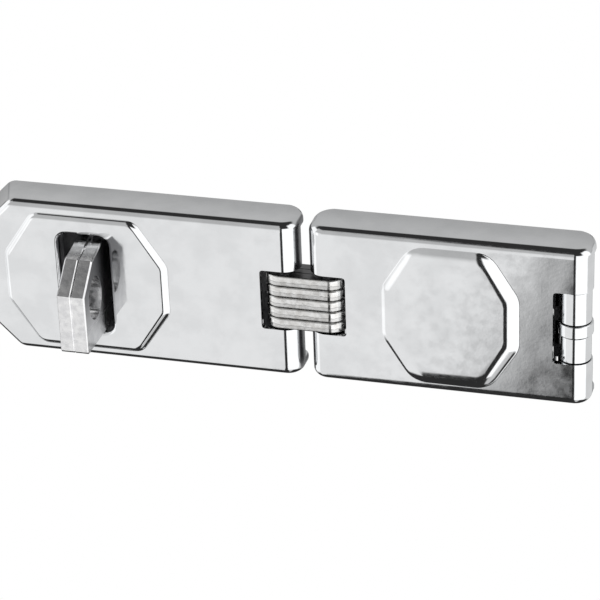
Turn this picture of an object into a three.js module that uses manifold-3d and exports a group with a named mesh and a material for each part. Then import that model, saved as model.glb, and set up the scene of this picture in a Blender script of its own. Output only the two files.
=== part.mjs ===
// Double-jointed steel hasp with its staple, closed on a door.
// Millimetres. +X runs along the hasp to its hinged end, +Z is up the door, and +Y goes into the
// wall, so every back face lies in the plane y = 0 and the fronts face -Y. The origin is the middle
// of the back of the hinge base plate.
import * as THREE from 'three';
import { mergeVertices } from 'three/addons/utils/BufferGeometryUtils.js';
import Module from 'manifold-3d';

const wasm = await Module();
wasm.setup();

// ---------------------------------------------------------------- driving dimensions
const HALF_HEIGHT = 26;
const DEPTH = 14;
const SHEET = 2.5;
const FOLD_RADIUS = 2.6;
const FIT = 0.3;
const OVERRUN = 2;

// The link joint's middle, seen from the middle of the hinge base plate.
const JOINT_X = -46;

// Along the hasp, from the middle of the link joint.
const COVER_GAP = 3;
const HASP_LENGTH = 105.5;
const HINGE_LENGTH = 86.5;
// The far corners are cut off, less so against the door, so their walls flare outwards.
const CORNER_CUT = { front: 13.4, back: 9.5 };

// Every curl, pin and knuckle has the same axis depth, close behind the front.
const CURL_RADIUS = 5.2;
const BACK_RADIUS = 5.6;
const PIN_Y = CURL_RADIUS - DEPTH;
const PIN_RADIUS = 2.4;
const LINK_PIN_X = COVER_GAP / 2 + CURL_RADIUS;
const LINK_NOTCH_X = 13.4;
const LINK_NOTCH_HALF = 10;
const LINK_COUNT = 5;
const LINK_THICKNESS = 3.5;
const LINK_PITCH = 3.65;
const LINK_RADIUS = 5;
const LINK_HALF_LENGTH = 12.6;

const HINGE_PIN_X = COVER_GAP / 2 + HINGE_LENGTH - CURL_RADIUS;
const HINGE_NOTCH_X = 76.8;
const HINGE_NOTCH_HALF = 11.9;
const KNUCKLE_RADIUS = 4.8;
const KNUCKLE_HALF = 11.6;
const COLLAR_RADIUS = 5.35;
const COLLAR_LOW = -3.2;
const COLLAR_HIGH = 0.9;

// Raised octagons: centre, half width and height at the foot, half lengths of the flat sides.
const HASP_BOSS = {
  x: -69.4, halfX: 26.7, halfZ: 22.9, flatX: 16.7, flatZ: 8.2, rise: 1.25, bevel: 2.4,
};
const HINGE_BOSS = {
  x: 45.6, halfX: 21.3, halfZ: 23.1, flatX: 12.1, flatZ: 8.6, rise: 1.4, bevel: 4.8,
};
const BOSS_CORNER = 3;
// Where the slope turns over: shares of the bevel's width and of the rise.
const BOSS_TURN = { width: 0.45, rise: 0.72 };

const SLOT = { x: -69.6, halfX: 8.6, halfZ: 17.5, corner: 3.5, lip: 2, flare: 1.6 };
// The flare's middle ring: shares of its spread and of its depth.
const FLARE_TURN = { spread: 0.3, depth: 0.4 };
const SLOT_LIP_BACK = -11.2;

const PLATE = { hingeLow: 19, hingeHigh: 75.5, haspLow: -100, haspHigh: -13, halfZ: 22.5 };
const HINGE_PLATE_THICK = 2.5;
const HINGE_PLATE_CORNER = 3;
// The bent neck between the hinge plate and its knuckles, from the plate's edge.
const NECK = { root: 4, frontBend: 1, backBend: 3.2 };
const HINGE_SCREWS = { inset: 9, z: 13 };
const STAPLE_SCREWS = [[-90, 0], [-46, 14], [-46, -14], [-24, 0]];
const STAPLE_PLATE_THICK = 3;
const STAPLE_PLATE_CUT = 10;
const STAPLE_PLATE_CORNER = 2.5;
const SCREW_RADIUS = 2.5;
const SCREW_HEAD_RADIUS = 4.8;

const STAPLE_X = -67.6;
const LEAF_THICKNESS = 4.3;
const LEAF_GAP = 0.3;
const STAPLE_FRONT = -33.5;
const STAPLE_LOW = -14.6;
const STAPLE_HIGH = 16.1;
// The bend over the staple's top, as y and z down to its front.
const STAPLE_BEND = [[-10, 16.1], [-24.5, 13.2], [-33.5, 5]];
const STAPLE_NOSE = 1.2;
const EYE = { y: -24.1, z: 0.5, halfY: 5.6, halfZ: 7 };
const TENON_HALF = 9;

// ---------------------------------------------------------------- solids and their building
function toSolid(geometry) {
  geometry.deleteAttribute('normal');
  geometry.deleteAttribute('uv');
  const merged = mergeVertices(geometry, 1e-4);
  const mesh = new wasm.Mesh({
    numProp: 3,
    vertProperties: Float32Array.from(merged.attributes.position.array),
    triVerts: Uint32Array.from(merged.index.array),
  });
  mesh.merge();
  return new wasm.Manifold(mesh);
}

function toGeometry(solid) {
  const { numProp, vertProperties, triVerts } = solid.getMesh();
  const geometry = new THREE.BufferGeometry();
  const positions = new Float32Array((vertProperties.length / numProp) * 3);
  for (let i = 0; i < positions.length / 3; i += 1) {
    for (let k = 0; k < 3; k += 1) {
      positions[3 * i + k] = vertProperties[numProp * i + k];
    }
  }
  geometry.setAttribute('position', new THREE.BufferAttribute(positions, 3));
  geometry.setIndex(Array.from(triVerts));
  geometry.computeVertexNormals();
  return geometry;
}

function extrude(shape, length, curveSegments) {
  return new THREE.ExtrudeGeometry(shape, { depth: length, bevelEnabled: false, curveSegments });
}

// A shape drawn in x and y, standing from z = low to z = high.
function alongZ(shape, low, high, curveSegments = 10) {
  const geometry = extrude(shape, high - low, curveSegments);
  geometry.translate(0, 0, low);
  return toSolid(geometry);
}

// A shape drawn in x and z, reaching from y = back forward to y = front.
function alongY(shape, back, front, curveSegments = 6) {
  const geometry = extrude(shape, back - front, curveSegments);
  geometry.rotateX(Math.PI / 2);
  geometry.translate(0, back, 0);
  return toSolid(geometry);
}

// A shape drawn in y and z, running from x = low to x = high.
function alongX(shape, low, high, curveSegments = 8) {
  const geometry = extrude(shape, high - low, curveSegments);
  geometry.applyMatrix4(new THREE.Matrix4().makeBasis(
    new THREE.Vector3(0, 1, 0), new THREE.Vector3(0, 0, 1), new THREE.Vector3(1, 0, 0),
  ));
  geometry.translate(low, 0, 0);
  return toSolid(geometry);
}

function box(x0, x1, y0, y1, z0, z1) {
  const geometry = new THREE.BoxGeometry(x1 - x0, y1 - y0, z1 - z0);
  geometry.translate((x0 + x1) / 2, (y0 + y1) / 2, (z0 + z1) / 2);
  return toSolid(geometry);
}

function cylinder(radius, x, y, low, high, sides = 32) {
  const geometry = new THREE.CylinderGeometry(radius, radius, high - low, sides);
  geometry.rotateX(Math.PI / 2);
  geometry.translate(x, y, (low + high) / 2);
  return toSolid(geometry);
}

// A closed outline through the corners, each one rounded off.
function roundedOutline(corners, radius) {
  const shape = new THREE.Shape();
  corners.forEach((corner, i) => {
    const before = corners[(i + corners.length - 1) % corners.length];
    const after = corners[(i + 1) % corners.length];
    const start = corner.clone().sub(before).setLength(-radius).add(corner);
    const end = after.clone().sub(corner).setLength(radius).add(corner);
    if (i === 0) {
      shape.moveTo(start.x, start.y);
    } else {
      shape.lineTo(start.x, start.y);
    }
    shape.quadraticCurveTo(corner.x, corner.y, end.x, end.y);
  });
  shape.closePath();
  return shape;
}

function rectangle(x, halfX, halfZ, corner) {
  const corners = [[-1, -1], [1, -1], [1, 1], [-1, 1]].map(
    ([sx, sz]) => new THREE.Vector2(x + sx * halfX, sz * halfZ),
  );
  return roundedOutline(corners, corner);
}

function octagon(boss, inset) {
  const halfX = boss.halfX - inset;
  const halfZ = boss.halfZ - inset;
  const flatX = boss.flatX - inset * Math.tan(Math.PI / 8);
  const flatZ = boss.flatZ - inset * Math.tan(Math.PI / 8);
  const corners = [
    [-flatX, -halfZ], [flatX, -halfZ], [halfX, -flatZ], [halfX, flatZ],
    [flatX, halfZ], [-flatX, halfZ], [-halfX, flatZ], [-halfX, -flatZ],
  ].map(([x, z]) => new THREE.Vector2(boss.x + x, z));
  return roundedOutline(corners, BOSS_CORNER);
}

// A closed solid through outlines drawn in x and z, listed from the back to the front.
function loft(levels) {
  const rings = levels.map(({ outline, y }) => {
    const points = outline.getPoints(3);
    points.pop();
    return points.map((point) => new THREE.Vector3(point.x, y, point.y));
  });
  const count = rings[0].length;
  const positions = rings.flat().flatMap((point) => point.toArray());
  const index = [];
  for (let level = 0; level < rings.length - 1; level += 1) {
    for (let i = 0; i < count; i += 1) {
      const a = level * count + i;
      const b = level * count + ((i + 1) % count);
      index.push(a, b, b + count, a, b + count, a + count);
    }
  }
  const flat = rings[0].map((point) => new THREE.Vector2(point.x, point.z));
  const front = (rings.length - 1) * count;
  THREE.ShapeUtils.triangulateShape(flat, []).forEach(([a, b, c]) => {
    index.push(a, c, b, front + a, front + b, front + c);
  });
  const geometry = new THREE.BufferGeometry();
  geometry.setAttribute('position', new THREE.Float32BufferAttribute(positions, 3));
  geometry.setIndex(index);
  return toSolid(geometry);
}

// ---------------------------------------------------------------- what both covers share
// The pressed octagon: its outside, or its hollow back when inset by the sheet.
function bossSolid(boss, sheet) {
  const foot = sheet - DEPTH;
  const crest = foot - boss.rise;
  return loft([
    { outline: octagon(boss, sheet), y: foot + SHEET / 2 },
    { outline: octagon(boss, sheet), y: foot },
    {
      outline: octagon(boss, sheet + boss.bevel * BOSS_TURN.width),
      y: foot - boss.rise * BOSS_TURN.rise,
    },
    { outline: octagon(boss, sheet + boss.bevel), y: crest },
  ]);
}

// The tray's section across its length, with its two long folds rounded.
function traySection(halfHeight, depth, fold) {
  const shape = new THREE.Shape();
  shape.moveTo(OVERRUN, -halfHeight);
  shape.lineTo(OVERRUN, halfHeight);
  shape.lineTo(fold - depth, halfHeight);
  shape.quadraticCurveTo(-depth, halfHeight, -depth, halfHeight - fold);
  shape.lineTo(-depth, fold - halfHeight);
  shape.quadraticCurveTo(-depth, -halfHeight, fold - depth, -halfHeight);
  shape.closePath();
  return shape;
}

// The side view of a cover's curled end that faces +X: the curl in front, and the side wall's own
// rounded corner behind it. Points run from the front to the back.
function roundEnd(shape, end) {
  shape.absarc(end - CURL_RADIUS, PIN_Y, CURL_RADIUS, -Math.PI / 2, 0, false);
  shape.absarc(end - BACK_RADIUS, -BACK_RADIUS, BACK_RADIUS, 0, Math.PI / 2, false);
}

function curl(x) {
  const inner = HALF_HEIGHT - SHEET + OVERRUN / 4;
  return cylinder(CURL_RADIUS, x, PIN_Y, -inner, inner, 36);
}

function pinBore(x) {
  const inner = HALF_HEIGHT - SHEET;
  return cylinder(PIN_RADIUS + FIT, x, PIN_Y, -inner, inner);
}

function linkNotch(side) {
  const ends = [side * LINK_NOTCH_X, side * (COVER_GAP / 2 - OVERRUN)].sort((a, b) => a - b);
  return box(ends[0], ends[1], -DEPTH - 1, OVERRUN, -LINK_NOTCH_HALF, LINK_NOTCH_HALF);
}

// ---------------------------------------------------------------- the hasp cover
function haspOutline(inset, cornerCut) {
  const low = inset - HASP_LENGTH - COVER_GAP / 2;
  const high = OVERRUN;
  const top = HALF_HEIGHT - inset;
  const cut = cornerCut - inset * (2 - Math.SQRT2);
  const shape = new THREE.Shape();
  shape.moveTo(low, cut - top);
  shape.lineTo(low + cut, -top);
  shape.lineTo(high, -top);
  shape.lineTo(high, top);
  shape.lineTo(low + cut, top);
  shape.lineTo(low, top - cut);
  shape.closePath();
  return shape;
}

function haspBlock(inset, front) {
  const back = haspOutline(inset, CORNER_CUT.back);
  return loft([
    { outline: back, y: OVERRUN },
    { outline: back, y: 0 },
    { outline: haspOutline(inset, CORNER_CUT.front), y: front },
  ]);
}

// The hasp cover's side view: a folded edge at the far end, a curl at the joint.
function haspProfile() {
  const low = -HASP_LENGTH - COVER_GAP / 2;
  const shape = new THREE.Shape();
  shape.moveTo(low, 0);
  shape.lineTo(low, FOLD_RADIUS - DEPTH);
  shape.quadraticCurveTo(low, -DEPTH, low + FOLD_RADIUS, -DEPTH);
  roundEnd(shape, -COVER_GAP / 2);
  shape.closePath();
  return shape;
}

function slotCutter() {
  const face = -DEPTH - HASP_BOSS.rise;
  const wide = rectangle(SLOT.x, SLOT.halfX + SLOT.flare, SLOT.halfZ + SLOT.flare, SLOT.corner);
  const spread = SLOT.flare * FLARE_TURN.spread;
  const mid = rectangle(SLOT.x, SLOT.halfX + spread, SLOT.halfZ + spread, SLOT.corner);
  const narrow = rectangle(SLOT.x, SLOT.halfX, SLOT.halfZ, SLOT.corner);
  return loft([
    { outline: narrow, y: OVERRUN },
    { outline: narrow, y: face + SLOT.flare },
    { outline: mid, y: face + SLOT.flare * FLARE_TURN.depth },
    { outline: wide, y: face },
    { outline: wide, y: face - OVERRUN },
  ]);
}

function haspCover() {
  const low = -HASP_LENGTH - COVER_GAP / 2;
  const inner = HALF_HEIGHT - SHEET;
  const outside = alongZ(haspProfile(), -HALF_HEIGHT, HALF_HEIGHT, 18)
    .intersect(alongX(traySection(HALF_HEIGHT, DEPTH, FOLD_RADIUS), low - 1, OVERRUN, 4))
    .intersect(haspBlock(0, -DEPTH - 1));
  const front = box(low, -LINK_PIN_X, -DEPTH, OVERRUN, -inner, inner);
  const back = box(low, OVERRUN, PIN_Y, OVERRUN, -inner, inner);
  const hollow = haspBlock(SHEET, SHEET - DEPTH)
    .intersect(front.add(back))
    .subtract(curl(-LINK_PIN_X));
  const lipOutline = rectangle(
    SLOT.x, SLOT.halfX + SLOT.lip, SLOT.halfZ + SLOT.lip, SLOT.corner + SLOT.lip,
  );
  const lip = alongY(lipOutline, SLOT_LIP_BACK, SHEET / 2 - DEPTH - HASP_BOSS.rise);
  const shell = outside
    .add(bossSolid(HASP_BOSS, 0))
    .subtract(hollow)
    .subtract(bossSolid(HASP_BOSS, SHEET))
    .add(lip);
  return shell
    .subtract(slotCutter())
    .subtract(linkNotch(-1))
    .subtract(pinBore(-LINK_PIN_X));
}

// ---------------------------------------------------------------- the hinge cover
function hingeProfile() {
  const low = COVER_GAP / 2;
  const shape = new THREE.Shape();
  shape.moveTo(low + CURL_RADIUS, -DEPTH);
  roundEnd(shape, low + HINGE_LENGTH);
  shape.lineTo(low + BACK_RADIUS, 0);
  shape.absarc(low + BACK_RADIUS, -BACK_RADIUS, BACK_RADIUS, Math.PI / 2, Math.PI, false);
  shape.absarc(low + CURL_RADIUS, PIN_Y, CURL_RADIUS, Math.PI, (3 * Math.PI) / 2, false);
  shape.closePath();
  return shape;
}

function hingeCover() {
  const high = HINGE_PIN_X + CURL_RADIUS;
  const inner = HALF_HEIGHT - SHEET;
  const outside = alongZ(hingeProfile(), -HALF_HEIGHT, HALF_HEIGHT, 16)
    .intersect(alongX(traySection(HALF_HEIGHT, DEPTH, FOLD_RADIUS), 0, high + 1, 4));
  const hollow = box(LINK_PIN_X, HINGE_PIN_X, SHEET - DEPTH, OVERRUN, -inner, inner)
    .add(box(0, high + 1, PIN_Y, OVERRUN, -inner, inner))
    .subtract(curl(LINK_PIN_X))
    .subtract(curl(HINGE_PIN_X));
  const hingeNotch = box(
    HINGE_NOTCH_X, high + 1, -DEPTH - 1, OVERRUN, -HINGE_NOTCH_HALF, HINGE_NOTCH_HALF,
  );
  const shell = outside
    .add(bossSolid(HINGE_BOSS, 0))
    .subtract(hollow)
    .subtract(bossSolid(HINGE_BOSS, SHEET));
  return shell
    .subtract(linkNotch(1))
    .subtract(hingeNotch)
    .subtract(pinBore(LINK_PIN_X))
    .subtract(pinBore(HINGE_PIN_X));
}

// ---------------------------------------------------------------- the link and its pins
function linkPlate(number) {
  const shape = new THREE.Shape();
  const end = LINK_HALF_LENGTH - LINK_RADIUS;
  shape.absarc(end, PIN_Y, LINK_RADIUS, -Math.PI / 2, Math.PI / 2, false);
  shape.absarc(-end, PIN_Y, LINK_RADIUS, Math.PI / 2, (3 * Math.PI) / 2, false);
  shape.closePath();
  [-1, 1].forEach((side) => {
    const hole = new THREE.Path();
    hole.absarc(side * LINK_PIN_X, PIN_Y, PIN_RADIUS + FIT, 0, 2 * Math.PI, true);
    shape.holes.push(hole);
  });
  const low = FIT - LINK_NOTCH_HALF + number * LINK_PITCH;
  return alongZ(shape, low, low + LINK_THICKNESS, 14);
}

function pin(x) {
  const half = HALF_HEIGHT - SHEET - FIT;
  const chamfer = 0.5;
  const outline = [
    [0, -half], [PIN_RADIUS - chamfer, -half], [PIN_RADIUS, chamfer - half],
    [PIN_RADIUS, half - chamfer], [PIN_RADIUS - chamfer, half], [0, half],
  ].map(([r, height]) => new THREE.Vector2(r, height));
  const geometry = new THREE.LatheGeometry(outline, 32);
  geometry.rotateX(Math.PI / 2);
  geometry.translate(x, PIN_Y, 0);
  return toSolid(geometry);
}

// ---------------------------------------------------------------- plates screwed to the door
function screwHole(x, z, thickness) {
  const headDepth = SCREW_HEAD_RADIUS - SCREW_RADIUS;
  const outline = [
    [0, -OVERRUN], [SCREW_RADIUS, -OVERRUN], [SCREW_RADIUS, thickness - headDepth],
    [SCREW_HEAD_RADIUS, thickness], [SCREW_HEAD_RADIUS, thickness + 1], [0, thickness + 1],
  ].map(([r, height]) => new THREE.Vector2(r, height));
  const geometry = new THREE.LatheGeometry(outline, 20);
  geometry.rotateX(Math.PI);
  geometry.translate(x, 0, z);
  return toSolid(geometry);
}

function drill(plate, places, thickness) {
  return places.reduce((left, [x, z]) => left.subtract(screwHole(x, z, thickness)), plate);
}

function fourCorners(low, high, insetX, z) {
  return [low + insetX, high - insetX].flatMap((x) => [[x, -z], [x, z]]);
}

function hingeBasePlate() {
  const middle = (PLATE.hingeLow + PLATE.hingeHigh) / 2;
  const half = (PLATE.hingeHigh - PLATE.hingeLow) / 2;
  const plate = alongY(rectangle(middle, half, PLATE.halfZ, HINGE_PLATE_CORNER), 0, -HINGE_PLATE_THICK);
  const barrelBack = PIN_Y + KNUCKLE_RADIUS;
  const neck = new THREE.Shape();
  neck.moveTo(PLATE.hingeHigh - NECK.root, 0);
  neck.lineTo(PLATE.hingeHigh - NECK.root, -HINGE_PLATE_THICK);
  neck.lineTo(PLATE.hingeHigh + NECK.frontBend, -HINGE_PLATE_THICK);
  neck.lineTo(HINGE_PIN_X - KNUCKLE_RADIUS / 2, barrelBack - HINGE_PLATE_THICK);
  neck.lineTo(HINGE_PIN_X, barrelBack - HINGE_PLATE_THICK / 2);
  neck.lineTo(HINGE_PIN_X, barrelBack);
  neck.lineTo(HINGE_PIN_X - KNUCKLE_RADIUS / 2, barrelBack);
  neck.lineTo(PLATE.hingeHigh + NECK.backBend, 0);
  neck.closePath();
  const collarRoom = box(
    HINGE_NOTCH_X, HINGE_PIN_X + 2 * KNUCKLE_RADIUS, -DEPTH - 1, OVERRUN,
    COLLAR_LOW - FIT, COLLAR_HIGH + FIT,
  );
  const knuckles = alongZ(neck, -KNUCKLE_HALF, KNUCKLE_HALF)
    .add(cylinder(KNUCKLE_RADIUS, HINGE_PIN_X, PIN_Y, -KNUCKLE_HALF, KNUCKLE_HALF))
    .subtract(collarRoom)
    .subtract(cylinder(
      PIN_RADIUS + FIT, HINGE_PIN_X, PIN_Y, -HALF_HEIGHT, HALF_HEIGHT,
    ));
  const places = fourCorners(
    PLATE.hingeLow, PLATE.hingeHigh, HINGE_SCREWS.inset, HINGE_SCREWS.z,
  );
  return drill(plate, places, HINGE_PLATE_THICK).add(knuckles);
}

function collar() {
  const shape = new THREE.Shape();
  shape.absarc(HINGE_PIN_X, PIN_Y, COLLAR_RADIUS, 0, 2 * Math.PI, false);
  const hole = new THREE.Path();
  hole.absarc(HINGE_PIN_X, PIN_Y, PIN_RADIUS + FIT, 0, 2 * Math.PI, true);
  shape.holes.push(hole);
  return alongZ(shape, COLLAR_LOW, COLLAR_HIGH, 32);
}

function leafX(side) {
  const near = STAPLE_X + side * (LEAF_GAP / 2);
  const far = STAPLE_X + side * (LEAF_GAP / 2 + LEAF_THICKNESS);
  return [Math.min(near, far), Math.max(near, far)];
}

function stapleBasePlate() {
  const middle = (PLATE.haspLow + PLATE.haspHigh) / 2;
  const half = (PLATE.haspHigh - PLATE.haspLow) / 2;
  const corners = [
    [-half, STAPLE_PLATE_CUT - PLATE.halfZ], [STAPLE_PLATE_CUT - half, -PLATE.halfZ],
    [half, -PLATE.halfZ], [half, PLATE.halfZ],
    [STAPLE_PLATE_CUT - half, PLATE.halfZ], [-half, PLATE.halfZ - STAPLE_PLATE_CUT],
  ].map(([x, z]) => new THREE.Vector2(middle + x, z));
  const plate = alongY(roundedOutline(corners, STAPLE_PLATE_CORNER), 0, -STAPLE_PLATE_THICK);
  const mortises = [-1, 1].map((side) => {
    const [low, high] = leafX(side);
    const slack = FIT / 2;
    return box(
      low - slack, high + slack, -STAPLE_PLATE_THICK - 1, 1, -TENON_HALF - FIT, TENON_HALF + FIT,
    );
  });
  return drill(plate, STAPLE_SCREWS, STAPLE_PLATE_THICK).subtract(mortises[0]).subtract(mortises[1]);
}

// One half of the staple: a leaf standing out of the plate, bent over at the top, with an oval eye.
function stapleLeaf(side) {
  const foot = -STAPLE_PLATE_THICK - FIT;
  const shape = new THREE.Shape();
  shape.moveTo(-FIT, -TENON_HALF);
  shape.lineTo(-FIT, TENON_HALF);
  shape.lineTo(foot, TENON_HALF);
  shape.lineTo(foot, STAPLE_HIGH);
  STAPLE_BEND.forEach(([y, z]) => shape.lineTo(y, z));
  shape.lineTo(STAPLE_FRONT, STAPLE_LOW + STAPLE_NOSE);
  shape.quadraticCurveTo(STAPLE_FRONT, STAPLE_LOW, STAPLE_FRONT + STAPLE_NOSE, STAPLE_LOW);
  shape.lineTo(foot, STAPLE_LOW);
  shape.lineTo(foot, -TENON_HALF);
  shape.closePath();
  const eye = new THREE.Path();
  eye.absellipse(EYE.y, EYE.z, EYE.halfY, EYE.halfZ, 0, 2 * Math.PI, true);
  shape.holes.push(eye);
  const [low, high] = leafX(side);
  return alongX(shape, low, high, 14);
}

// ---------------------------------------------------------------- the assembly
const polishedSteel = { color: 0xd9dadb, roughness: 0.25, metalness: 1 };
const shearedSteel = { color: 0xb3afa8, roughness: 0.55, metalness: 1 };
const hardenedSteel = { color: 0xc6c5c2, roughness: 0.45, metalness: 1 };

const group = new THREE.Group();
group.position.x = JOINT_X;

function place(name, solid, finish) {
  const mesh = new THREE.Mesh(toGeometry(solid), new THREE.MeshStandardMaterial(finish));
  mesh.name = name;
  group.add(mesh);
}

place('hinge_base_plate', hingeBasePlate(), polishedSteel);
place('base_hinge_pin', pin(HINGE_PIN_X), hardenedSteel);
place('base_hinge_collar', collar(), polishedSteel);
place('hinge_cover', hingeCover(), polishedSteel);
place('link_pin_hinge_side', pin(LINK_PIN_X), hardenedSteel);
for (let number = 0; number < LINK_COUNT; number += 1) {
  place(`link_plate_${number + 1}`, linkPlate(number), shearedSteel);
}
place('link_pin_hasp_side', pin(-LINK_PIN_X), hardenedSteel);
place('hasp_cover', haspCover(), polishedSteel);
place('staple_base_plate', stapleBasePlate(), polishedSteel);
place('staple_leaf_left', stapleLeaf(-1), hardenedSteel);
place('staple_leaf_right', stapleLeaf(1), hardenedSteel);

export default group;
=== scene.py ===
"""A double-jointed hasp with its staple, closed on a door, in soft studio light.

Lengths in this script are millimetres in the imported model's frame: +X runs along the hasp to its
hinged end, +Z is up the door, and the fronts face -Y. Each piece is made in metres at the end.
"""
import math

import bmesh
import bpy
from mathutils import Matrix, Vector
from mathutils.geometry import delaunay_2d_cdt


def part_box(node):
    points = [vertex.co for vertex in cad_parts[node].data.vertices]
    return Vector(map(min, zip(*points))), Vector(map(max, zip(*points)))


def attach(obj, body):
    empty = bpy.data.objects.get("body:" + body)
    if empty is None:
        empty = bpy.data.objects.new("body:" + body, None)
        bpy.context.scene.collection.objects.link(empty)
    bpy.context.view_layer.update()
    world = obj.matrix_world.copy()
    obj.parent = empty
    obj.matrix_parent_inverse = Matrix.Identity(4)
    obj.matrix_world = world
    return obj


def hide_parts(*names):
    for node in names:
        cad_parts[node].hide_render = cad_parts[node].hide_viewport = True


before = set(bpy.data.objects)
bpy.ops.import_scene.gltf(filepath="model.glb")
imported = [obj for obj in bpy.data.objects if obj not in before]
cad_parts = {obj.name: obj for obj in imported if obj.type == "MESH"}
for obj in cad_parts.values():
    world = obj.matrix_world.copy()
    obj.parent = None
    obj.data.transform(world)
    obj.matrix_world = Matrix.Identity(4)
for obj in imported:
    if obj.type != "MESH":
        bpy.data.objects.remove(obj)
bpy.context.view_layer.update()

MM = 0.001


def extent(node):
    """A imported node's lowest and highest corners."""
    low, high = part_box(node)
    return Vector(low) / MM, Vector(high) / MM


def middle(node):
    low, high = extent(node)
    return (low + high) / 2


# ---------------------------------------------------------------- sizes from the frame
HASP_LOW, HASP_HIGH = extent("hasp_cover")
HINGE_LOW = extent("hinge_cover")[0]
HASP_PIN = middle("link_pin_hasp_side")
LINK_PIN = middle("link_pin_hinge_side")
BASE_PIN = middle("base_hinge_pin")
PIN_Y = BASE_PIN.y
HALF_HEIGHT = HASP_HIGH.z
CURL = HASP_HIGH.x - HASP_PIN.x
FRONT = PIN_Y - CURL
PIN_LOW, PIN_HIGH = extent("base_hinge_pin")
PIN_RADIUS = (PIN_HIGH.x - PIN_LOW.x) / 2

# ---------------------------------------------------------------- sizes of the finish
SHEET = 1.9
RIM = 2.6
RIM_WIDTH = 2.75
RIM_STEPS = 9
# Round a wall's larger corner, the rim's radius shrinks by this share of itself.
RIM_FADE = 0.98
WALL_CORNER = 5.6
CURL_STEP = 5
CURL_TURN = 290
LINK_NOTCH = {"depth": 6.7, "half": 10}
BASE_NOTCH = {"depth": 6, "half": 11.9}
CORNER_CUT = {"front": 13.4, "back": 9.5}
# The walls end this far from the door, and the leaning corner walls end farther, so that their inner
# edges don't go into it.
FOOT_GAP = 0.05
FLARE_LIFT = 0.5
HASP_BOSS = {
    "x": -115.4, "half_x": 26.7, "half_z": 22.9, "flat_x": 16.7, "flat_z": 8.2,
    "corner": 5, "rise": FRONT - HASP_LOW.y, "width": 2.4, "foot": 0.45,
}
HINGE_BOSS = {
    "x": -0.4, "half_x": 21.3, "half_z": 23.1, "flat_x": 12.1, "flat_z": 8.6,
    "corner": 8, "rise": FRONT - HINGE_LOW.y, "width": 4.8, "foot": 1.0,
}
SLOT = {"x": -115.4, "half_x": 8.0, "half_z": 16.7, "corner": 3.2, "roll": 1.4, "back": -11.2}
BORE_GAP = 0.1
PIN_DOME = {"height": 0.7, "shoulder": 1.1}
SCREW = {"bore": 2.5, "head": 4.8}
HINGE_PLATE = {"thickness": 2.5, "edge": 29.5, "corner": 3, "screw_inset": 9, "screw_z": 13}
KNUCKLE = {"half": 11.6, "gap": 0.3, "heel": 1.7, "heel_gap": 0.4, "throat": 1, "throat_gap": 0.3}
# Where a knuckle or the plate's root meets the plate, it starts inside it and just under its skin.
JOIN = {"overlap": 0.5, "skin": 0.02}
ROOT = {"reach": 2, "half": 16}
STAPLE_PLATE = {"thickness": 3, "cut": 10, "corner": 2.5}
STAPLE_SCREWS = [(-136, 0), (-92, 14), (-92, -14), (-70, 0)]
MORTISE = {"gap": 0.1, "half_z": 9.2, "corner": 0.5}
STAPLE = {"foot": -3.1, "back": -0.3, "tenon": 9, "nose": 1.2, "chamfer": 0.45, "ground": 0.25}
STAPLE_BEND = {"start": -10, "knee": (-24.5, 13.2), "chin": 5}
EYE = {"y": -24.1, "z": 0.5, "half_y": 5.6, "half_z": 7}


# ---------------------------------------------------------------- camera
def make_camera(aim, distance, azimuth, elevation, roll, lens):
    """A camera that looks at aim. Azimuth turns to +X from the front, and angles are degrees."""
    a, e, r = (math.radians(angle) for angle in (azimuth, elevation, roll))
    back = Vector((math.sin(a) * math.cos(e), -math.cos(a) * math.cos(e), math.sin(e)))
    right = Vector((math.cos(a), math.sin(a), 0))
    up = back.cross(right)
    across = right * math.cos(r) + up * math.sin(r)
    upward = up * math.cos(r) - right * math.sin(r)
    data = bpy.data.cameras.new("camera")
    data.sensor_width = 36
    data.lens = lens
    data.clip_start = 0.01
    data.clip_end = 50
    camera = bpy.data.objects.new("camera", data)
    turn = Matrix((across, upward, back)).transposed().to_4x4()
    camera.matrix_world = Matrix.Translation((aim + back * distance) * MM) @ turn
    bpy.context.scene.collection.objects.link(camera)
    bpy.context.scene.camera = camera


# ---------------------------------------------------------------- node helpers
class Nodes:
    """A node tree with short ways to add and join nodes."""

    def __init__(self, tree):
        self.tree = tree
        tree.nodes.clear()

    def add(self, kind, inputs=None, **settings):
        node = self.tree.nodes.new(kind)
        for key, value in settings.items():
            setattr(node, key, value)
        for key, value in (inputs or {}).items():
            if isinstance(value, bpy.types.NodeSocket):
                self.tree.links.new(value, node.inputs[key])
            else:
                node.inputs[key].default_value = value
        return node

    def math(self, operation, *values):
        node = self.add("ShaderNodeMath", dict(enumerate(values)), operation=operation)
        return node.outputs[0]

    def ramp(self, value, low, high, to_low=0.0, to_high=1.0):
        """A smooth step from to_low to to_high as value goes from low to high."""
        node = self.add(
            "ShaderNodeMapRange",
            {0: value, 1: low, 2: high, 3: to_low, 4: to_high},
            interpolation_type="SMOOTHSTEP",
        )
        return node.outputs[0]

    def noise(self, place, size, detail=2.0, stretch=(1, 1, 1), rough=0.5):
        """Noise whose grains measure about size millimetres."""
        scaled = self.add(
            "ShaderNodeMapping", {"Vector": place, "Scale": [s / (size * MM) for s in stretch]}
        )
        node = self.add(
            "ShaderNodeTexNoise",
            {"Vector": scaled.outputs[0], "Scale": 1.0, "Detail": detail, "Roughness": rough},
        )
        return node.outputs["Fac"]

    def bump(self, height, depth, below=None):
        """Relief of a depth in millimetres, on top of the bump below it."""
        inputs = {"Height": height, "Distance": depth * MM, "Strength": 1.0}
        if below is not None:
            inputs["Normal"] = below
        return self.add("ShaderNodeBump", inputs).outputs[0]


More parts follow.
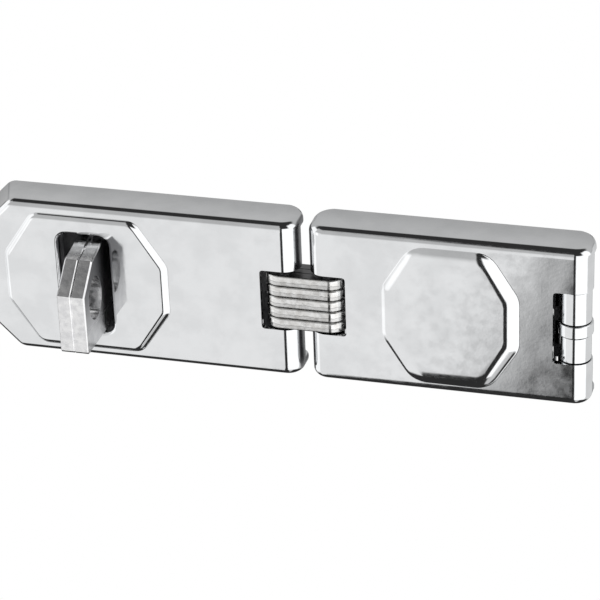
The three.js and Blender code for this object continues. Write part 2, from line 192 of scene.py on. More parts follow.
# ---------------------------------------------------------------- studio
# Soft boxes round the object, by where they stand: azimuth from the front towards +X, and
# elevation at an azimuth of -10, all in degrees. A leaning top or bottom edge climbs by lean degrees
# for each degree of azimuth, as far as LEAN_REACH, and soft is how wide each edge fades.
SOFT_BOXES = (
    {"name": "front", "azimuth": (-75, -7), "soft": 3, "bottom": (-27.0, 7), "bottom_lean": 1.9,
     "top": (16, 50), "top_lean": -0.4, "glow": 0.88},
    {"name": "front rise", "azimuth": (-75, -7), "soft": 3, "bottom": (-20, 5),
     "top": (35, 12), "top_lean": -1.6, "glow": 0.52},
    {"name": "key", "azimuth": (-66, -33), "soft": 24, "bottom": (-22, 14), "top": (14, 16),
     "glow": 1.2},
    {"name": "left", "azimuth": (-112, -60), "soft": 14, "bottom": (-42, 18), "top": (44, 16),
     "glow": 1.15},
    {"name": "right", "azimuth": (6, 88), "soft": 4, "bottom": (-50, 8), "top": (24, 10),
     "glow": 1.25},
    {"name": "high right", "azimuth": (52, 112), "soft": 14, "bottom": (-8, 14), "top": (60, 14),
     "glow": 1.2},
    {"name": "low right", "azimuth": (12, 46), "soft": 8, "bottom": (-80, 8), "top": (-40, 10),
     "glow": 0.6},
    {"name": "far right", "azimuth": (80, 172), "soft": 10, "bottom": (-50, 10), "top": (6, 10),
     "glow": 0.72},
    {"name": "far left", "azimuth": (185, 232), "soft": 12, "bottom": (-45, 12), "top": (6, 10),
     "glow": 0.46},
    {"name": "back", "azimuth": (105, 255), "soft": 16, "bottom": (4, 20), "top": (52, 16),
     "glow": 0.52},
)
LEAN_FROM = -10
LEAN_REACH = 15
ROOM_GLOW = 0.03


def make_studio():
    """White to the camera. Reflections see soft boxes in a dark room."""
    scene = bpy.context.scene
    scene.view_settings.view_transform = "Standard"
    world = bpy.data.worlds.new("studio")
    world.use_nodes = True
    scene.world = world
    nodes = Nodes(world.node_tree)
    place = nodes.add("ShaderNodeTexCoord").outputs["Generated"]
    split = nodes.add("ShaderNodeSeparateXYZ", {0: place})
    x, y, z = split.outputs
    azimuth = nodes.math("DEGREES", nodes.math("ARCTAN2", x, nodes.math("MULTIPLY", y, -1.0)))
    elevation = nodes.math("DEGREES", nodes.math("ARCSINE", z))
    glow = None
    for box in SOFT_BOXES:
        for turn in (0, -360):
            low, high = (edge + turn for edge in box["azimuth"])
            if high < -180 or low > 180:
                continue
            past = nodes.math("MAXIMUM", nodes.math("SUBTRACT", azimuth, LEAN_FROM), -LEAN_REACH)
            part = between(nodes, azimuth, low, high, box["soft"])
            for edge, climb in (("bottom", 1.0), ("top", -1.0)):
                level, soft = box[edge]
                lean = box.get(f"{edge}_lean", 0.0)
                above = nodes.math("MULTIPLY_ADD", past, -lean, elevation)
                inner, outer = level + climb * soft / 2, level - climb * soft / 2
                part = nodes.math("MULTIPLY", part, nodes.ramp(above, outer, inner))
            part = nodes.math("MULTIPLY", part, box["glow"])
            glow = part if glow is None else nodes.math("MAXIMUM", glow, part)
    glow = nodes.math("MAXIMUM", glow, ROOM_GLOW)
    room = nodes.add("ShaderNodeBackground", {"Color": glow, "Strength": 1.0})
    white = nodes.add("ShaderNodeBackground", {"Color": (1, 1, 1, 1), "Strength": 1.0})
    path = nodes.add("ShaderNodeLightPath")
    seen = nodes.add(
        "ShaderNodeMixShader",
        {0: path.outputs["Is Camera Ray"], 1: room.outputs[0], 2: white.outputs[0]},
    )
    nodes.add("ShaderNodeOutputWorld", {"Surface": seen.outputs[0]})


def between(nodes, angle, low, high, soft):
    """One between two angles, fading to nothing over a soft edge at each."""
    rising = nodes.ramp(angle, low - soft / 2, low + soft / 2)
    falling = nodes.ramp(angle, high - soft / 2, high + soft / 2, 1.0, 0.0)
    return nodes.math("MULTIPLY", rising, falling)


def make_floor(depth=260, half=4000):
    """A plain pale floor well below the object, too far away to show a shadow."""
    material = bpy.data.materials.new("pale_floor")
    material.use_nodes = True
    nodes = Nodes(material.node_tree)
    lit = nodes.add("ShaderNodeEmission", {"Color": (1, 1, 1, 1), "Strength": 1.0})
    nodes.add("ShaderNodeOutputMaterial", {"Surface": lit.outputs[0]})
    mesh = bpy.data.meshes.new("floor")
    corners = [(x * half * MM, y * half * MM, -depth * MM) for x, y in
               ((-1, -1), (1, -1), (1, 1), (-1, 1))]
    mesh.from_pydata(corners, [], [(0, 1, 2, 3)])
    mesh.materials.append(material)
    floor = bpy.data.objects.new("floor", mesh)
    floor.visible_glossy = False
    floor.visible_diffuse = False
    bpy.context.scene.collection.objects.link(floor)


# ---------------------------------------------------------------- materials
# Near-black colour that the masks below paint in: mostly painted shade, and on the links also their
# torn edges.
SHADE_AND_TEAR_TONE = (0.10, 0.10, 0.105)
DULL_ROUGHNESS = 0.42


def metal(name, colour, shade, polish, waves, grain, painted_shade_and_tear=None):
    """Bare or plated steel. shade is the darker tone of its mottling, polish the roughness range,
    and waves and grain are (size, depth) of its slow and fine relief. The last argument makes a mask,
    from the nodes and the place, of where the steel is painted near black and made rougher: painted
    shade on most pieces, and on the links also their real torn edges."""
    material = bpy.data.materials.new(name)
    material.use_nodes = True
    nodes = Nodes(material.node_tree)
    place = nodes.add("ShaderNodeTexCoord").outputs["Object"]
    mottle = nodes.ramp(nodes.noise(place, waves[0] * 0.6, detail=5), 0.35, 0.65)
    tone = nodes.add(
        "ShaderNodeMix",
        {0: mottle, 6: (*shade, 1), 7: (*colour, 1)},
        data_type="RGBA",
    ).outputs[2]
    spots = nodes.noise(place, grain[0] * 3, detail=4)
    roughness = nodes.ramp(spots, 0.3, 0.7, polish[0], polish[1])
    # Near black and rougher where the mask says: painted shade, and on the links their torn edges too.
    if painted_shade_and_tear:
        mask = painted_shade_and_tear(nodes, place)
        tone = nodes.add(
            "ShaderNodeMix", {0: mask, 6: tone, 7: (*SHADE_AND_TEAR_TONE, 1)}, data_type="RGBA",
        ).outputs[2]
        rougher = nodes.math("MULTIPLY", mask, DULL_ROUGHNESS)
        roughness = nodes.math("MAXIMUM", roughness, rougher)
    slow = nodes.bump(nodes.noise(place, waves[0], detail=1), waves[1])
    fine = nodes.bump(nodes.noise(place, grain[0], detail=3), grain[1], slow)
    shader = nodes.add(
        "ShaderNodeBsdfPrincipled",
        {"Base Color": tone, "Roughness": roughness, "Normal": fine, "Metallic": 1.0},
    )
    nodes.add("ShaderNodeOutputMaterial", {"Surface": shader.outputs[0]})
    return material


def painted_door_and_curl_shade(nodes, place):
    """Painted shade: darker towards the door, and much darker where the two covers' curls face each
    other.
    """
    x, y, _ = nodes.add("ShaderNodeSeparateXYZ", {0: place}).outputs
    back = nodes.ramp(y, -12 * MM, 0.0, 0.0, 0.22)
    joint = (HASP_PIN.x + LINK_PIN.x) / 2 * MM
    away = nodes.math("ABSOLUTE", nodes.math("SUBTRACT", x, joint))
    return nodes.math("MAXIMUM", back, nodes.ramp(away, 2.0 * MM, 2.6 * MM, 0.85, 0.0))


def torn_edges_and_top_shade(nodes, place):
    """The torn lower part of each link plate's edge and a dark line above it, both of the sheared
    steel, and painted shade on the flat top.
    """
    coordinates = nodes.add("ShaderNodeTexCoord")
    level = nodes.add("ShaderNodeSeparateXYZ", {0: coordinates.outputs["Generated"]}).outputs[2]
    ragged = nodes.math("MULTIPLY_ADD", nodes.noise(place, 1.6, detail=3), 0.3, level)
    torn = nodes.ramp(ragged, 0.56, 0.60, 0.22, 0.0)
    line_top = nodes.ramp(ragged, 0.60, 0.66, 0.5, 0.0)
    line = nodes.math("MULTIPLY", nodes.ramp(ragged, 0.54, 0.58), line_top)
    normal = nodes.add("ShaderNodeSeparateXYZ", {0: coordinates.outputs["Normal"]}).outputs[2]
    # Painted shade: faces that look up go near black.
    flat_top_shade = nodes.ramp(normal, 0.85, 0.95, 0.0, 0.9)
    return nodes.math("MAXIMUM", nodes.math("MAXIMUM", torn, line), flat_top_shade)


def painted_staple_side_shade(nodes, place):
    """Painted shade on the staple's flat sides, strongest high up."""
    normal = nodes.add("ShaderNodeTexCoord").outputs["Normal"]
    across = nodes.math("ABSOLUTE", nodes.add("ShaderNodeSeparateXYZ", {0: normal}).outputs[0])
    height = nodes.add("ShaderNodeSeparateXYZ", {0: place}).outputs[2]
    high_up = nodes.ramp(height, -14 * MM, 9 * MM, 0.55, 1.0)
    return nodes.math("MULTIPLY", nodes.ramp(across, 0.9, 0.98), high_up)


def painted_shade_behind_front(nodes, place):
    """Painted shade: everything well behind the covers' front is made near black, for the covers'
    shadow.
    """
    depth = nodes.add("ShaderNodeSeparateXYZ", {0: place}).outputs[1]
    return nodes.ramp(depth, -9.5 * MM, -7.5 * MM)


def make_materials():
    return {
        # Covers and collar: their mask paints shade towards the door and between the two curls.
        "plated_cover": metal(
            "plated_cover", (0.86, 0.87, 0.88), (0.80, 0.81, 0.82), (0.05, 0.12),
            waves=(14, 0.05), grain=(0.9, 0.0025), painted_shade_and_tear=painted_door_and_curl_shade,
        ),
        # Its mask paints the hinge plate near black behind the covers' front, as painted shade.
        "plated_plate": metal(
            "plated_plate", (0.86, 0.87, 0.88), (0.80, 0.81, 0.82), (0.06, 0.12),
            waves=(14, 0.05), grain=(0.9, 0.003), painted_shade_and_tear=painted_shade_behind_front,
        ),
        # The staple plate's darker colour is painted shade, for the covers' shadow over it.
        "painted_shade_plate": metal(
            "painted_shade_plate", (0.42, 0.42, 0.43), (0.30, 0.30, 0.31), (0.4, 0.6),
            waves=(10, 0.05), grain=(0.7, 0.01),
        ),
        # Its mask paints shade on the staple's flat sides.
        "hardened_staple": metal(
            "hardened_staple", (0.90, 0.90, 0.90), (0.76, 0.76, 0.77), (0.10, 0.24),
            waves=(4, 0.03), grain=(0.5, 0.006), painted_shade_and_tear=painted_staple_side_shade,
        ),
        # Its mask holds the real torn edges and painted shade on the links' flat tops.
        "sheared_link": metal(
            "sheared_link", (0.88, 0.88, 0.87), (0.74, 0.73, 0.71), (0.10, 0.28),
            waves=(3, 0.03), grain=(0.5, 0.008), painted_shade_and_tear=torn_edges_and_top_shade,
        ),
        "hardened_pin": metal(
            "hardened_pin", (0.34, 0.34, 0.35), (0.24, 0.24, 0.25), (0.25, 0.45),
            waves=(6, 0.03), grain=(0.5, 0.006),
        ),
    }


# ---------------------------------------------------------------- mesh building
class Surface:
    """Faces in millimetres, gathered and then made into one object in metres."""

    def __init__(self):
        self.faces = []

    def face(self, points):
        self.faces.append([Vector(point) for point in points])

    def strips(self, rows, closed=False):
        """Four-sided faces between rows of equally many points."""
        for row, following in zip(rows, rows[1:]):
            pairs = list(zip(row, following))
            if closed:
                pairs.append(pairs[0])
            for (a, b), (c, d) in zip(pairs, pairs[1:]):
                self.face([a, c, d, b])

    def region(self, outline, holes, place):
        """A flat region between loops of plane points, put into space by place(point)."""
        loops = [outline, *holes]
        points = [Vector(point) for loop in loops for point in loop]
        edges = []
        start = 0
        for loop in loops:
            edges += [(start + i, start + (i + 1) % len(loop)) for i in range(len(loop))]
            start += len(loop)
        corners, _, triangles, *_ = delaunay_2d_cdt(points, edges, [], 1, 1e-7)
        for triangle in triangles:
            shape = [corners[i] for i in triangle]
            centre = sum(shape, Vector((0, 0))) / 3
            if inside(centre, outline) and not any(inside(centre, hole) for hole in holes):
                self.face([place(point) for point in shape])

    def build(self, name, sheet=0.0, bevel=0.25, segments=2, crease=35):
        """The object. With a sheet thickness, the faces are an outside that faces -Y. Edges that
        turn by more than crease degrees are bevelled, and the rest are shaded smooth."""
        shape = bmesh.new()
        for points in self.faces:
            shape.faces.new([shape.verts.new(point * MM) for point in points])
        bmesh.ops.remove_doubles(shape, verts=shape.verts, dist=0.01 * MM)
        bmesh.ops.dissolve_degenerate(shape, edges=shape.edges, dist=0.005 * MM)
        bmesh.ops.recalc_face_normals(shape, faces=shape.faces)
        if sheet and sum(face.normal.y * face.calc_area() for face in shape.faces) > 0:
            bmesh.ops.reverse_faces(shape, faces=shape.faces)
        for face in shape.faces:
            face.smooth = True
        mesh = bpy.data.meshes.new(name)
        shape.to_mesh(mesh)
        shape.free()
        piece = bpy.data.objects.new(name, mesh)
        bpy.context.scene.collection.objects.link(piece)
        if sheet:
            solidify = piece.modifiers.new("sheet", "SOLIDIFY")
            solidify.thickness = sheet * MM
            solidify.offset = -1
        edges = piece.modifiers.new("edges", "BEVEL")
        edges.width = bevel * MM
        edges.segments = segments
        edges.limit_method = "ANGLE"
        edges.angle_limit = math.radians(crease)
        edges.use_clamp_overlap = True
        piece.modifiers.new("shading", "WEIGHTED_NORMAL").keep_sharp = True
        return piece


def inside(point, loop):
    """True if a plane point lies inside a closed loop."""
    crossings = 0
    for (ax, ay), (bx, by) in zip(loop, [*loop[1:], loop[0]]):
        if (ay > point[1]) != (by > point[1]):
            if point[0] < ax + (point[1] - ay) * (bx - ax) / (by - ay):
                crossings += 1
    return crossings % 2 == 1


def arc(centre, radius, start, end, steps):
    """Plane points on an arc, in degrees from the first axis."""
    angles = (math.radians(start + (end - start) * i / steps) for i in range(steps + 1))
    return [(centre[0] + radius * math.cos(a), centre[1] + radius * math.sin(a)) for a in angles]


def circle(centre, radius, count):
    return arc(centre, radius, 0, 360 - 360 / count, count - 1)


def rounded(corners, radii, steps=5):
    """A loop through corners, each replaced by an arc of its radius that touches both sides."""
    loop = []
    count = len(corners)
    for i, (corner, radius) in enumerate(zip(corners, radii)):
        corner = Vector(corner)
        before = (Vector(corners[i - 1]) - corner).normalized()
        after = (Vector(corners[(i + 1) % count]) - corner).normalized()
        half = before.angle(after) / 2
        centre = corner + (before + after).normalized() * (radius / math.sin(half))
        first = (corner + before * (radius / math.tan(half)) - centre).normalized()
        last = (corner + after * (radius / math.tan(half)) - centre).normalized()
        for step in range(steps + 1):
            loop.append(tuple(centre + first.slerp(last, step / steps) * radius))
    return loop


def octagon(boss, inset):
    """The boss's outline, its corners tighter the further it is inset."""
    narrow = inset * math.tan(math.radians(22.5))
    x, z = boss["half_x"] - inset, boss["half_z"] - inset
    flat_x, flat_z = boss["flat_x"] - narrow, boss["flat_z"] - narrow
    corners = [(-flat_x, -z), (flat_x, -z), (x, -flat_z), (x, flat_z),
               (flat_x, z), (-flat_x, z), (-x, flat_z), (-x, -flat_z)]
    corners = [(boss["x"] + cx, cz) for cx, cz in corners]
    return rounded(corners, [boss["corner"] - inset] * 8)


def rectangle(x, half_x, half_z, corner, steps=6):
    corners = [(x - half_x, -half_z), (x + half_x, -half_z), (x + half_x, half_z), (x - half_x, half_z)]
    return rounded(corners, [corner] * 4, steps)


def on_front(height):
    """Puts plane points on the covers' front, height in front of it."""
    return lambda point: Vector((point[0], FRONT - height, point[1]))


# ---------------------------------------------------------------- folded and curled sheet
def rim_section(base, out, normal, radius):
    """Across a folded edge: a short flat and a quarter circle."""
    flat = RIM_WIDTH - radius
    points = [base]
    for step in range(RIM_STEPS + 1):
        turn = math.pi / 2 * step / RIM_STEPS
        points.append(
            base + out * (flat + radius * math.sin(turn)) - normal * radius * (1 - math.cos(turn))
        )
    return points


def round_end(pin_x, side, up):
    """Rim sections round the end of a side wall: round the curl, then the wall's larger corner."""
    out = Vector((0, 0, up))
    level = up * (HALF_HEIGHT - RIM_WIDTH)
    sections = []
    curl_centre = Vector((pin_x, PIN_Y, level))
    wall_centre = Vector((pin_x + side * (CURL - WALL_CORNER), -WALL_CORNER, level))
    for centre, size, first in ((curl_centre, CURL, 0), (wall_centre, WALL_CORNER, 90)):
        for degrees in range(first, first + 91, CURL_STEP):
            turn = math.radians(degrees)
            normal = Vector((side * math.sin(turn), -math.cos(turn), 0))
            tight = RIM if first == 0 else RIM * (1 - RIM_FADE * (degrees - 90) / 90)
            sections.append(rim_section(centre + normal * size, out, normal, tight))
    return sections


def curl(surface, pin_x, side, inner):
    """The sheet rolled round its pin, above and below a notch that reaches inner from the middle."""
    for up in (-1, 1):
        levels = (up * inner, up * (HALF_HEIGHT - RIM_WIDTH))
        rows = []
        for degrees in range(0, CURL_TURN + 1, CURL_STEP):
            turn = math.radians(degrees)
            x = pin_x + side * CURL * math.sin(turn)
            y = PIN_Y - CURL * math.cos(turn)
            rows.append([Vector((x, y, z)) for z in levels])
        surface.strips(rows)


def press_boss(surface, boss):
    """The pressed slope of a boss: a tight hollow at its foot, then one round crown up to the flat.
    Returns the outlines of its foot and its flat."""
    rise, width, foot = boss["rise"], boss["width"], boss["foot"]
    foot_steps, crown_steps = 4, 10
    slope = 2 * math.atan(rise / width)
    crown = width / math.sin(slope) - foot
    levels = [(foot * math.sin(t), foot * (1 - math.cos(t)))
              for t in (slope * step / foot_steps for step in range(foot_steps))]
    levels += [(width - crown * math.sin(t), rise - crown * (1 - math.cos(t)))
               for t in (slope * (1 - step / crown_steps) for step in range(crown_steps + 1))]
    rings = [octagon(boss, inset) for inset, _ in levels]
    surface.strips(
        [[on_front(height)(point) for point in ring] for ring, (_, height) in zip(rings, levels)],
        closed=True,
    )
    return rings[0], rings[-1]


def notch(edge, side, depth, half, radius=1):
    """Corners of a notch in the end of the front, between the two curls, from the top down."""
    x = edge - side * (depth - radius)
    upper = arc((x, half - radius), radius, 90, 90 + side * 90, 4)
    lower = arc((x, radius - half), radius, 270 - side * 90, 270, 4)
    return [(edge, half), *upper, *lower, (edge, -half)]


def roll_slot(surface, height):
    """The slot's rolled lip, from the crest of the boss to its back edge. Returns its outline."""
    steps = 8
    rings = []
    for step in range(steps + 1):
        turn = math.pi / 2 * step / steps
        spread = SLOT["roll"] * (1 - math.sin(turn))
        y = FRONT - height + SLOT["roll"] * (1 - math.cos(turn))
        rings.append((spread, y))
    rings.append((0, SLOT["back"]))
    rows = []
    for spread, y in rings:
        loop = rectangle(SLOT["x"], SLOT["half_x"] + spread, SLOT["half_z"] + spread,
                         SLOT["corner"] + spread)
        rows.append([Vector((x, y, z)) for x, z in loop])
    surface.strips(rows, closed=True)
    return [(point.x, point.z) for point in rows[0]]


def hinge_cover():
    """The cover at the hinged end: a flat front with its boss, and walls that fold back all along."""
    surface = Surface()
    level = HALF_HEIGHT - RIM_WIDTH
    foot, crest = press_boss(surface, HINGE_BOSS)
    surface.region(crest, [], on_front(HINGE_BOSS["rise"]))
    low, high = LINK_PIN.x, BASE_PIN.x
    outline = [(low, level), (high, level), *notch(high, 1, **BASE_NOTCH), (high, -level),
               (low, -level), *reversed(notch(low, -1, **LINK_NOTCH))]
    surface.region(outline, [foot], on_front(0))
    curl(surface, low, -1, LINK_NOTCH["half"])
    curl(surface, high, 1, BASE_NOTCH["half"])
    for up in (-1, 1):
        sections = round_end(low, -1, up)[::-1] + round_end(high, 1, up)
        surface.strips(sections)
        surface.face([section[-1] for section in sections])
    return surface.build("hinge_cover_sheet", sheet=SHEET)


def hasp_cover():
    """The cover with the slot: its far corners are cut, and the walls there lean out to the door."""
    surface = Surface()
    level = HALF_HEIGHT - RIM_WIDTH
    foot, crest = press_boss(surface, HASP_BOSS)
    slot = roll_slot(surface, HASP_BOSS["rise"])
    surface.region(crest, [slot], on_front(HASP_BOSS["rise"]))
    far, high = HASP_LOW.x + RIM_WIDTH, HASP_PIN.x
    narrower = RIM_WIDTH * (2 - math.sqrt(2))
    edge = far_edge(far, level, CORNER_CUT["front"] - narrower, radius=1.5)
    outline = [point for point, _ in edge]
    outline = [*outline, (high, -level), *reversed(notch(high, 1, **LINK_NOTCH)), (high, level)]
    surface.region(outline, [foot], on_front(0))
    curl(surface, high, 1, LINK_NOTCH["half"])
    normal = Vector((0, -1, 0))
    sections = []
    for (x, z), (out_x, out_z) in edge:
        sections.append(rim_section(Vector((x, FRONT, z)), Vector((out_x, 0, out_z)), normal, RIM))
    feet = []
    for (x, z), (out_x, out_z) in far_edge(HASP_LOW.x, HALF_HEIGHT, CORNER_CUT["back"], radius=4):
        feet.append(Vector((x, -FOOT_GAP - FLARE_LIFT * abs(2 * out_x * out_z), z)))
    surface.strips([[section[-1] for section in sections], feet])
    top, bottom = round_end(high, 1, 1), round_end(high, 1, -1)
    surface.strips([*reversed(top), *sections, *bottom])
    surface.face([feet[0], *(section[-1] for section in [sections[0], *top])])
    surface.face([feet[-1], *(section[-1] for section in [sections[-1], *bottom])])
    return surface.build("hasp_cover_sheet", sheet=SHEET)


def far_edge(far, level, cut, radius, steps=6):
    """Along the hasp's far end from the top down: plane points and the way each one faces."""
    turns = [(far + cut, level, 90, 135), (far, level - cut, 135, 180),
             (far, cut - level, 180, 225), (far + cut, -level, 225, 270)]
    reach = radius * math.tan(math.radians(22.5))
    edge = []
    for x, z, start, end in turns:
        half = math.radians((start + end) / 2)
        away = math.hypot(radius, reach)
        centre = (x - away * math.cos(half), z - away * math.sin(half))
        for point in arc(centre, radius, start, end, steps):
            way = ((point[0] - centre[0]) / radius, (point[1] - centre[1]) / radius)
            edge.append((point, way))
    return edge


# ---------------------------------------------------------------- solid pieces
def extruded(surface, outline, holes, low, high, place):
    """A closed solid between two levels. place(plane point, level) puts it into space."""
    for level in (low, high):
        surface.region(outline, holes, lambda point: place(point, level))
    for loop in (outline, *holes):
        surface.strips([[place(point, level) for point in loop] for level in (low, high)], closed=True)


def upright(point, level):
    return Vector((point[0], point[1], level))


def sideways(point, level):
    return Vector((level, point[0], point[1]))


def link_plate(number):
    """One flat link with round ends, bored for both link pins."""
    low, high = extent(f"link_plate_{number}")
    radius = (high.y - low.y) / 2
    outline = (arc((high.x - radius, PIN_Y), radius, -90, 90, 30)
               + arc((low.x + radius, PIN_Y), radius, 90, 270, 30))
    holes = [circle((pin.x, PIN_Y), PIN_RADIUS + BORE_GAP, 24) for pin in (HASP_PIN, LINK_PIN)]
    surface = Surface()
    extruded(surface, outline, holes, low.z, high.z, upright)
    return surface.build(f"link_plate_{number}_steel", bevel=0.6, segments=3)


def turned(name, centre, profile, bevel=0.2):
    """A closed solid of revolution about an upright axis, from (radius, level) points."""
    surface = Surface()
    rows = []
    for radius, level in profile:
        loop = circle((centre.x, centre.y), max(radius, 0.001), 48)
        rows.append([Vector((x, y, level)) for x, y in loop])
    surface.strips(rows, closed=True)
    return surface.build(name, bevel=bevel)


def pin(node):
    """A pin with a low dome on each end."""
    low, high = extent(node)
    radius = (high.x - low.x) / 2
    profile = []
    for end, sign in ((low.z, 1), (high.z, -1)):
        dome = [(radius * share, end + sign * PIN_DOME["height"] * share ** 2)
                for share in (0, 0.35, 0.65, 0.85)]
        dome.append((radius, end + sign * PIN_DOME["shoulder"]))
        profile += dome if sign > 0 else dome[::-1]
    return turned(f"{node}_steel", middle(node), profile)


def collar():
    low, high = extent("base_hinge_collar")
    outer, inner = (high.x - low.x) / 2, PIN_RADIUS + BORE_GAP
    centre = (BASE_PIN.x, PIN_Y)
    surface = Surface()
    extruded(surface, circle(centre, outer, 60), [circle(centre, inner, 48)],
             low.z, high.z, upright)
    return surface.build("base_hinge_collar_steel", bevel=0.4, segments=3)


def screw_plate(surface, outline, screws, openings, thickness):
    """A plate against the door with countersunk screw holes and plain openings."""
    wide = [circle(screw, SCREW["head"], 36) for screw in screws]
    tight = [circle(screw, SCREW["bore"], 36) for screw in screws]

    def at(y):
        return lambda point: Vector((point[0], y, point[1]))

    surface.region(outline, wide + openings, at(-thickness))
    surface.region(outline, tight + openings, at(0))
    for loop in (outline, *openings):
        surface.strips([[at(y)(point) for point in loop] for y in (0, -thickness)], closed=True)
    depth = SCREW["head"] - SCREW["bore"]
    for around, core in zip(wide, tight):
        rows = [[at(-thickness)(point) for point in around],
                [at(depth - thickness)(point) for point in core],
                [at(0)(point) for point in core]]
        surface.strips(rows, closed=True)


def hinge_base_plate():
    """The plate that carries the hinge. Two knuckles curl off its edge, one on each side of the
    collar, and a low root along the edge closes the gap that would show through the notch."""
    low, high = extent("hinge_base_plate")
    thickness, edge = HINGE_PLATE["thickness"], HINGE_PLATE["edge"]
    inset, level = HINGE_PLATE["screw_inset"], HINGE_PLATE["screw_z"]
    surface = Surface()
    outline = rectangle((low.x + edge) / 2, (edge - low.x) / 2, high.z, HINGE_PLATE["corner"])
    screws = [(x, z) for x in (low.x + inset, edge - inset) for z in (-level, level)]
    screw_plate(surface, outline, screws, [], thickness)
    start, back, front = edge - JOIN["overlap"], -JOIN["skin"], JOIN["skin"] - thickness
    reach, half = edge + ROOT["reach"], ROOT["half"]
    root = [(start, back), (reach, back), (reach, front), (start, front)]
    extruded(surface, root, [], -half, half, upright)
    knuckle = high.x - BASE_PIN.x
    bend = BASE_PIN.x - knuckle / 2
    centre = (BASE_PIN.x, PIN_Y)
    outline = [(start, back), (bend - KNUCKLE["heel"], back),
               (bend, PIN_Y + knuckle - KNUCKLE["heel_gap"])]
    outline += arc(centre, knuckle, 90, -205, 59)
    outline += arc(centre, PIN_RADIUS + BORE_GAP, -205, 90, 59)
    outline += [(bend, PIN_Y + PIN_RADIUS + KNUCKLE["throat_gap"]),
                (edge + KNUCKLE["throat"], front), (start, front)]
    collar_low, collar_high = extent("base_hinge_collar")
    for bottom, top in ((-KNUCKLE["half"], collar_low.z - KNUCKLE["gap"]),
                        (collar_high.z + KNUCKLE["gap"], KNUCKLE["half"])):
        extruded(surface, outline, [], bottom, top, upright)
    return surface.build("hinge_base_plate_steel", bevel=0.35, segments=3)


def staple_base_plate():
    low, high = extent("staple_base_plate")
    cut = STAPLE_PLATE["cut"]
    corners = [(low.x, cut + low.z), (low.x + cut, low.z), (high.x, low.z), (high.x, high.z),
               (low.x + cut, high.z), (low.x, high.z - cut)]
    outline = rounded(corners, [STAPLE_PLATE["corner"]] * len(corners))
    leaf_low, _ = extent("staple_leaf_left")
    _, leaf_high = extent("staple_leaf_right")
    mortise = rectangle(
        (leaf_low.x + leaf_high.x) / 2, (leaf_high.x - leaf_low.x) / 2 + MORTISE["gap"],
        MORTISE["half_z"], MORTISE["corner"],
    )
    surface = Surface()
    screw_plate(surface, outline, STAPLE_SCREWS, [mortise], STAPLE_PLATE["thickness"])
    return surface.build("staple_base_plate_steel", bevel=0.35, segments=3)


def staple_outline(low, high):
    """A leaf's side, and how deep its edge is cut back at each point: chamfered along the top and the
    bend, and ground nearly sharp down the front."""
    foot, back, tenon, nose = (STAPLE[name] for name in ("foot", "back", "tenon", "nose"))
    chamfer, ground = STAPLE["chamfer"], STAPLE["ground"]
    bend = [(STAPLE_BEND["start"], high.z), STAPLE_BEND["knee"], (low.y, STAPLE_BEND["chin"])]
    tip = arc((low.y + nose, low.z + nose), nose, 180, 270, 6)
    outline = [(back, -tenon), (back, tenon), (foot, tenon), (foot, high.z), *bend, *tip,
               (foot, low.z), (foot, -tenon)]
    cuts = [ground] * 3 + [chamfer] * (1 + len(bend)) + [ground] * (len(tip) + 2)
    return outline, cuts


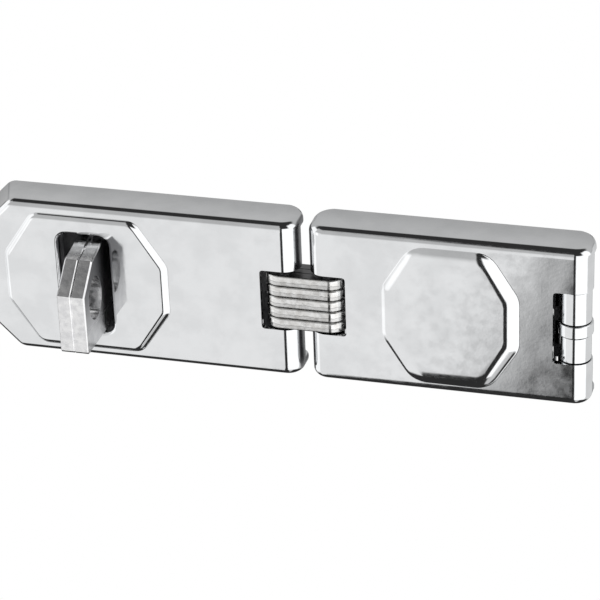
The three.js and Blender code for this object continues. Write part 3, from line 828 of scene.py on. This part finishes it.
def staple_leaf(side):
    """One leaf: out of the plate, bent over at the top, with an oval eye."""
    low, high = extent(f"staple_leaf_{side}")
    seam = (extent("staple_leaf_left")[1].x + extent("staple_leaf_right")[0].x) / 2
    low_x, high_x = sorted((seam, low.x if side == "left" else high.x))
    outline, cuts = staple_outline(low, high)
    inner = inset_loop(outline, cuts)
    eye = [(EYE["y"] + EYE["half_y"] * y, EYE["z"] + EYE["half_z"] * z)
           for y, z in circle((0, 0), 1, 45)]
    surface = Surface()
    for x in (low_x, high_x):
        surface.region(inner, [eye], lambda point, x=x: sideways(point, x))
    rows = [[sideways(point, low_x) for point in inner]]
    for x, inward in ((low_x, 1), (high_x, -1)):
        rows.append([sideways(point, x + inward * cut) for point, cut in zip(outline, cuts)])
    rows.append([sideways(point, high_x) for point in inner])
    surface.strips(rows, closed=True)
    surface.strips([[sideways(point, x) for point in eye] for x in (low_x, high_x)], closed=True)
    return surface.build(f"staple_leaf_{side}_steel", bevel=0.18, crease=12)


def inset_loop(loop, depths):
    """The loop's points moved in, each by its own depth, to the side that the loop encloses."""
    following = [*loop[1:], loop[0]]
    area = sum(a[0] * b[1] - b[0] * a[1] for a, b in zip(loop, following))
    turn = math.copysign(1, area)
    moved = []
    for i, (point, depth) in enumerate(zip(loop, depths)):
        before = (Vector(point) - Vector(loop[i - 1])).normalized()
        after = (Vector(following[i]) - Vector(point)).normalized()
        normals = [Vector((-way.y, way.x)) * turn for way in (before, after)]
        inward = (normals[0] + normals[1]).normalized()
        moved.append(tuple(Vector(point) + inward * depth / max(0.4, inward.dot(normals[0]))))
    return moved


# ---------------------------------------------------------------- the assembly
def finish_piece(piece, body, node, slot, materials, look=None):
    piece.data.materials.append(materials[look or slot])
    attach(piece, body)
    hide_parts(node)


def assemble(materials):
    for piece, body, node, slot in (
        (hasp_cover(), "hasp_cover", "hasp_cover", "plated_cover"),
        (hinge_cover(), "hinge_cover", "hinge_cover", "plated_cover"),
        (hinge_base_plate(), "base", "hinge_base_plate", "plated_plate"),
        (collar(), "base", "base_hinge_collar", "plated_cover"),
        (pin("base_hinge_pin"), "base", "base_hinge_pin", "hardened_pin"),
        (pin("link_pin_hinge_side"), "hinge_cover", "link_pin_hinge_side", "hardened_pin"),
        (pin("link_pin_hasp_side"), "hasp_cover", "link_pin_hasp_side", "hardened_pin"),
        (staple_leaf("left"), "base", "staple_leaf_left", "hardened_staple"),
        (staple_leaf("right"), "base", "staple_leaf_right", "hardened_staple"),
    ):
        finish_piece(piece, body, node, slot, materials)
    # The staple plate wears the darker colour of painted shade.
    finish_piece(staple_base_plate(), "base", "staple_base_plate", "plated_plate", materials,
                 look="painted_shade_plate")
    for number in range(1, 6):
        finish_piece(link_plate(number), "link", f"link_plate_{number}", "sheared_link", materials)


make_camera(
    aim=Vector((-46.858, -14.0, 1.159)), distance=818.6,
    azimuth=16.629, elevation=27.953, roll=-2.338, lens=161.98,
)
make_studio()
make_floor()
assemble(make_materials())
